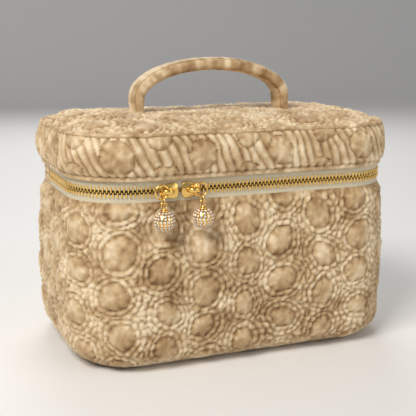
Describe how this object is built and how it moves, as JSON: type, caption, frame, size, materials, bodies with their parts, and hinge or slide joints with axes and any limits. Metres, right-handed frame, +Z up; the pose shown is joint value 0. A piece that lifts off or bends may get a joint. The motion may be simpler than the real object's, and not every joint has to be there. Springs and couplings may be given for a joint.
{
  "type": "makeup bag",
  "caption": "Soft box-shaped makeup bag of quilted velvet with a zip-round hinged lid, a padded top handle and two zip sliders with crystal ball charms.",
  "frame": {"origin": "middle of the base, on the surface that the bag stands on", "axes": "+Z up; -Y is the front, where the two zip sliders meet; +X is to the right seen from the front"},
  "size_m": [0.208, 0.1472, 0.1804],
  "materials": {
    "velvet": "crushed velvet, quilted",
    "wadding": "needled wadding",
    "lining": "plain weave",
    "binding": "bias tape",
    "zip_tape": "woven zip tape",
    "gold_metal": "polished light gold plate",
    "board": "plain sheet",
    "crystal": "faceted clear stones"
  },
  "bodies": {
    "body": {"body_shell": "velvet", "base_panel": "velvet", "body_wadding": "wadding", "base_board": "board", "body_lining": "lining", "body_edge_binding": "binding", "lower_zip_tape": "zip_tape", "lower_zip_teeth": "gold_metal", "lower_zip_stops": "gold_metal", "back_hinge_strip": "velvet", "zip_end_tabs": "velvet"},
    "lid": {"lid_top_panel": "velvet", "lid_band": "velvet", "lid_top_wadding": "wadding", "lid_band_wadding": "wadding", "lid_top_lining": "lining", "lid_band_lining": "lining", "lid_edge_binding": "binding", "handle_backing_patches": "lining", "upper_zip_tape": "zip_tape", "upper_zip_teeth": "gold_metal", "upper_zip_stops": "gold_metal", "lid_hinge_strip": "velvet"},
    "handle": {"handle_cover": "velvet", "handle_core": "wadding"},
    "left_slider": {"left_slider_body": "gold_metal", "left_slider_bail": "gold_metal"},
    "left_ring": {"left_pull_ring": "gold_metal"},
    "left_charm": {"left_link_ring": "gold_metal", "left_charm_cap": "gold_metal", "left_charm_ball": "gold_metal", "left_charm_crystals": "crystal"},
    "right_slider": {"right_slider_body": "gold_metal", "right_slider_bail": "gold_metal"},
    "right_ring": {"right_pull_ring": "gold_metal"},
    "right_charm": {"right_link_ring": "gold_metal", "right_charm_cap": "gold_metal", "right_charm_ball": "gold_metal", "right_charm_crystals": "crystal"}
  },
  "joints": [
    {"name": "lid_hinge", "type": "hinge", "parent": "body", "child": "lid", "pos_m": [0, 0.067, 0.108], "axis": [-1, 0, 0], "range_deg": [0, 105]},
    {"name": "handle_tilt", "type": "hinge", "parent": "lid", "child": "handle", "pos_m": [0, 0, 0.1554], "axis": [1, 0, 0], "range_deg": [-60, 60], "stiffness_Nm_per_rad": 0.12},
    {"name": "left_slider_travel", "type": "slide", "parent": "body", "child": "left_slider", "axis": [-1, 0, 0], "range_m": [0, 0.007], "deforming": ["upper_zip_teeth", "lower_zip_teeth"]},
    {"name": "left_ring_swing", "type": "hinge", "parent": "left_slider", "child": "left_ring", "pos_m": [-0.05385, -0.0703, 0.108], "axis": [0, 0, 1], "range_deg": [0, 90]},
    {"name": "left_charm_swing", "type": "hinge", "parent": "left_ring", "child": "left_charm", "pos_m": [-0.05775, -0.0703, 0.1041], "axis": [-1, 0, 0], "range_deg": [0, 30]},
    {"name": "right_slider_travel", "type": "slide", "parent": "body", "child": "right_slider", "axis": [1, 0, 0], "range_m": [0, 0.098], "deforming": ["upper_zip_teeth", "lower_zip_teeth"]},
    {"name": "right_ring_swing", "type": "hinge", "parent": "right_slider", "child": "right_ring", "pos_m": [-0.03815, -0.0703, 0.108], "axis": [0, 0, -1], "range_deg": [0, 90]},
    {"name": "right_charm_swing", "type": "hinge", "parent": "right_ring", "child": "right_charm", "pos_m": [-0.03425, -0.0703, 0.1041], "axis": [-1, 0, 0], "range_deg": [0, 30]}
  ]
}
